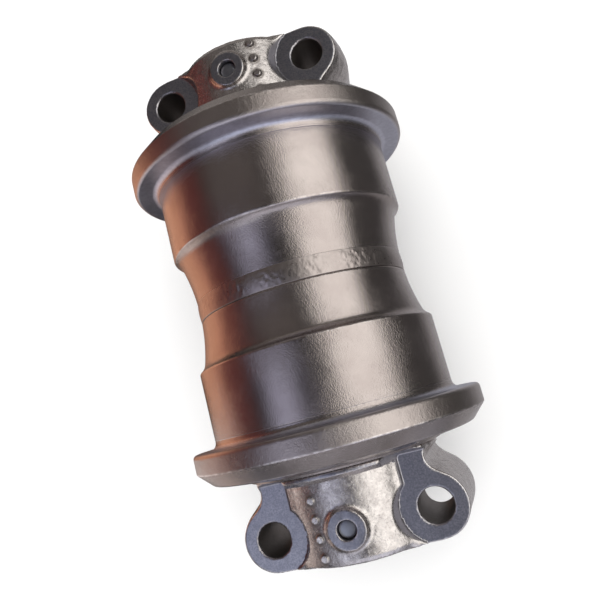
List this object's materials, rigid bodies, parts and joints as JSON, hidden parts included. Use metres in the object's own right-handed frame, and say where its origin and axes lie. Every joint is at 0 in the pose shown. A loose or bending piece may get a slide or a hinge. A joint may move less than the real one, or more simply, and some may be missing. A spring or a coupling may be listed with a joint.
{
  "type": "track roller",
  "caption": "Double-flange crawler track roller: waisted shell turning on a fixed shaft held by end collars with bolt lugs, on flanged bushings with face seals.",
  "frame": {"origin": "on the roller's axis, midway between the two collars", "axes": "+Y along the roller's axis from the oil plug end to the plain end; +X along the machine's travel; +Z away from the track frame, towards the heads of the frame bolts"},
  "size_m": [0.24, 0.427, 0.24],
  "materials": {
    "roller_paint": "satin dark gunmetal brown",
    "weld_paint": "satin dark gunmetal brown over rough weld and forge skin",
    "collar_casting": "dark satin coat over a pitted casting",
    "shaft_steel": "ground steel",
    "pin_steel": "turned steel with a thin dark coat",
    "bronze": "bored bronze",
    "seal_iron": "lapped hard iron",
    "rubber": "moulded nitrile rubber"
  },
  "bodies": {
    "axle": {"collar_oring_plain_end": "rubber", "collar_oring_plug_end": "rubber", "collar_plain_end": "collar_casting", "collar_plug_end": "collar_casting", "fixed_seal_ring_plain_end": "seal_iron", "fixed_seal_ring_plug_end": "seal_iron", "fixed_toric_plain_end": "rubber", "fixed_toric_plug_end": "rubber", "lock_pin_plain_end": "pin_steel", "lock_pin_plug_end": "pin_steel", "oil_plug": "pin_steel", "oil_plug_oring": "rubber", "shaft": "shaft_steel"},
    "roller": {"bushing_back_plain_end": "shaft_steel", "bushing_back_plug_end": "shaft_steel", "bushing_lining_plain_end": "bronze", "bushing_lining_plug_end": "bronze", "shell_plain_end": "roller_paint", "shell_plug_end": "roller_paint", "turning_seal_ring_plain_end": "seal_iron", "turning_seal_ring_plug_end": "seal_iron", "turning_toric_plain_end": "rubber", "turning_toric_plug_end": "rubber", "weld_bead": "weld_paint"}
  },
  "joints": [
    {"name": "roller_spin", "type": "hinge", "parent": "axle", "child": "roller", "pos_m": [0, 0, 0], "axis": [0, 1, 0], "continuous": true}
  ]
}
